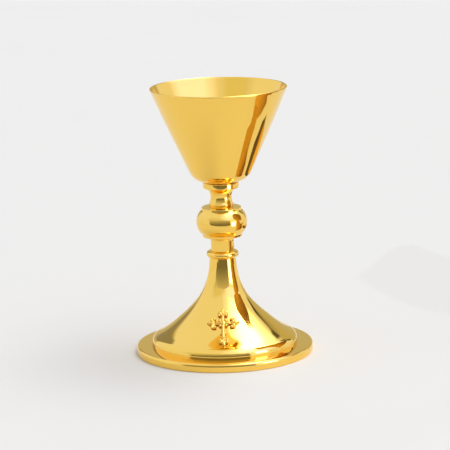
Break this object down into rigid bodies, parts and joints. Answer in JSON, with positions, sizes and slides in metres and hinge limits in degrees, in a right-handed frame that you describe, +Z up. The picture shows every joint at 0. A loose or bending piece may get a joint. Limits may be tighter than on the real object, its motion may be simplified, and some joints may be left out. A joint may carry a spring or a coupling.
{
  "type": "chalice",
  "caption": "Gilt chalice with a conical cup that unscrews from a turned stem with a round knop, over a flared bell foot with a cast cross and a flat base ring.",
  "frame": {"origin": "centre of the base ring's underside, on the chalice's axis and on the surface it stands on", "axes": "+Z up along the axis to the rim, -Y the way the cross faces"},
  "size_m": [0.1324, 0.1324, 0.2],
  "materials": {
    "gold_plate": "mirror-polished gold plate on spun and turned brass",
    "cast_gold": "gold-plated casting, bright on the ridges",
    "raw_brass": "turned brass, unplated",
    "steel": "zinc-plated steel",
    "nylon": "natural nylon"
  },
  "bodies": {
    "base": {"cup_collar": "gold_plate", "upper_stem": "gold_plate", "stem_nut": "steel", "stem_nut_washer": "steel", "knop_upper_half": "gold_plate", "knop_core": "raw_brass", "knop_lower_half": "gold_plate", "lower_stem": "gold_plate", "stem_ring": "gold_plate", "foot_bell": "gold_plate", "foot_hub": "raw_brass", "base_ring": "gold_plate", "cross": "cast_gold", "cross_pins": "raw_brass", "tie_rod": "steel", "tie_washer": "steel", "lock_washer": "steel", "tie_nut": "steel"},
    "seat": {"seat_washer": "nylon"},
    "cup": {"cup": "gold_plate", "cup_boss": "raw_brass"}
  },
  "joints": [
    {"name": "cup_rise", "type": "slide", "parent": "base", "child": "seat", "axis": [0, 0, 1], "range_m": [0, 0.01]},
    {"name": "cup_turn", "type": "hinge", "parent": "seat", "child": "cup", "pos_m": [0, 0, 0.125], "axis": [0, 0, 1], "range_deg": [0, 3600]}
  ],
  "couplings": [
    {"joint": "cup_rise", "follows": "cup_turn", "m_per_rad": 0.00015915}
  ]
}
